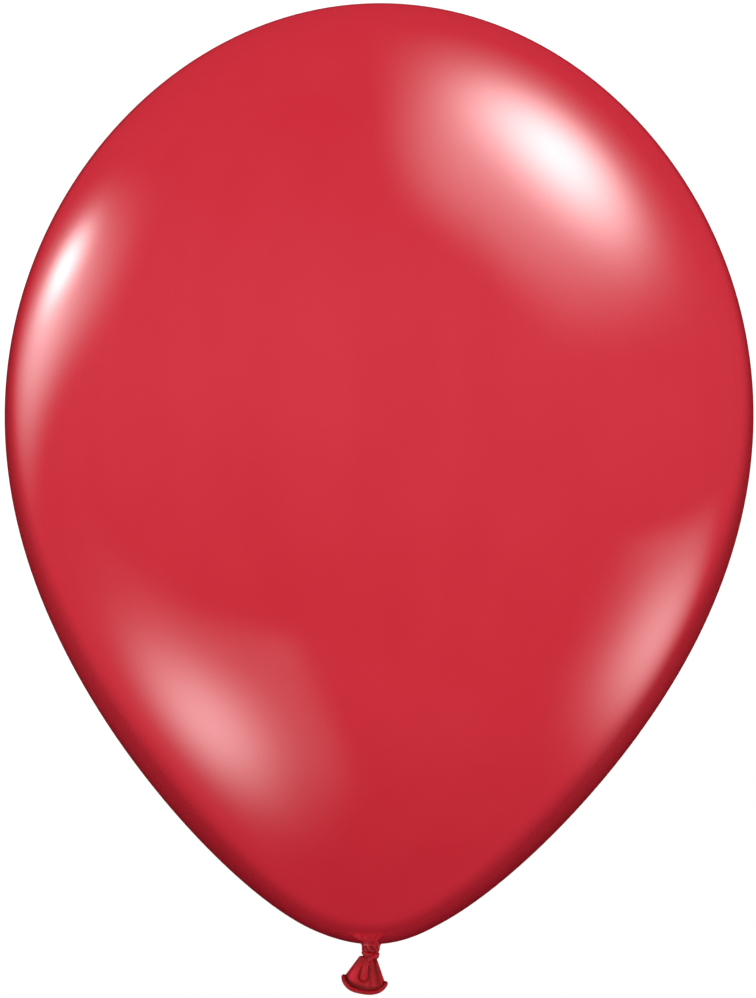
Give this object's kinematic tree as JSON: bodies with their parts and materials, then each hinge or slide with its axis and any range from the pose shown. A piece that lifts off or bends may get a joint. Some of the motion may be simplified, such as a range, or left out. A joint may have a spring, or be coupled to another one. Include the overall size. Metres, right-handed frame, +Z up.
{
  "type": "latex balloon",
  "caption": "Round inflated latex party balloon in glossy ruby red, tied off with a knot and a short flared tail with a rolled lip.",
  "frame": {"origin": "middle of the gathered neck between the body and the knot, where a ribbon is tied", "axes": "+Z up along the balloon's axis to the crown, -Y to the front that shows the tucked strand and the tail's fold, +X to the right"},
  "size_m": [0.2799, 0.28, 0.3709],
  "materials": {
    "stretched_latex": "gloss",
    "gathered_latex": "gloss"
  },
  "bodies": {
    "balloon": {"envelope": "stretched_latex"},
    "neck": {"neck": "gathered_latex"},
    "knot": {"knot_wrap": "gathered_latex", "knot_tuck": "gathered_latex"},
    "tail": {"tail_skirt": "gathered_latex", "tail_pleat": "gathered_latex", "lip_bead": "gathered_latex"}
  },
  "joints": [
    {"name": "neck_twist", "type": "hinge", "parent": "balloon", "child": "neck", "pos_m": [0, 0, 0], "axis": [0, 0, 1], "range_deg": [-180, 180], "stiffness_Nm_per_rad": 0.0001},
    {"name": "knot_swing", "type": "hinge", "parent": "neck", "child": "knot", "pos_m": [0, 0, 0], "axis": [0, 1, 0], "range_deg": [-35, 35], "stiffness_Nm_per_rad": 0.0002},
    {"name": "tail_flop", "type": "hinge", "parent": "knot", "child": "tail", "pos_m": [0, 0, -0.006], "axis": [1, 0, 0], "range_deg": [-60, 60], "stiffness_Nm_per_rad": 0.00005}
  ]
}
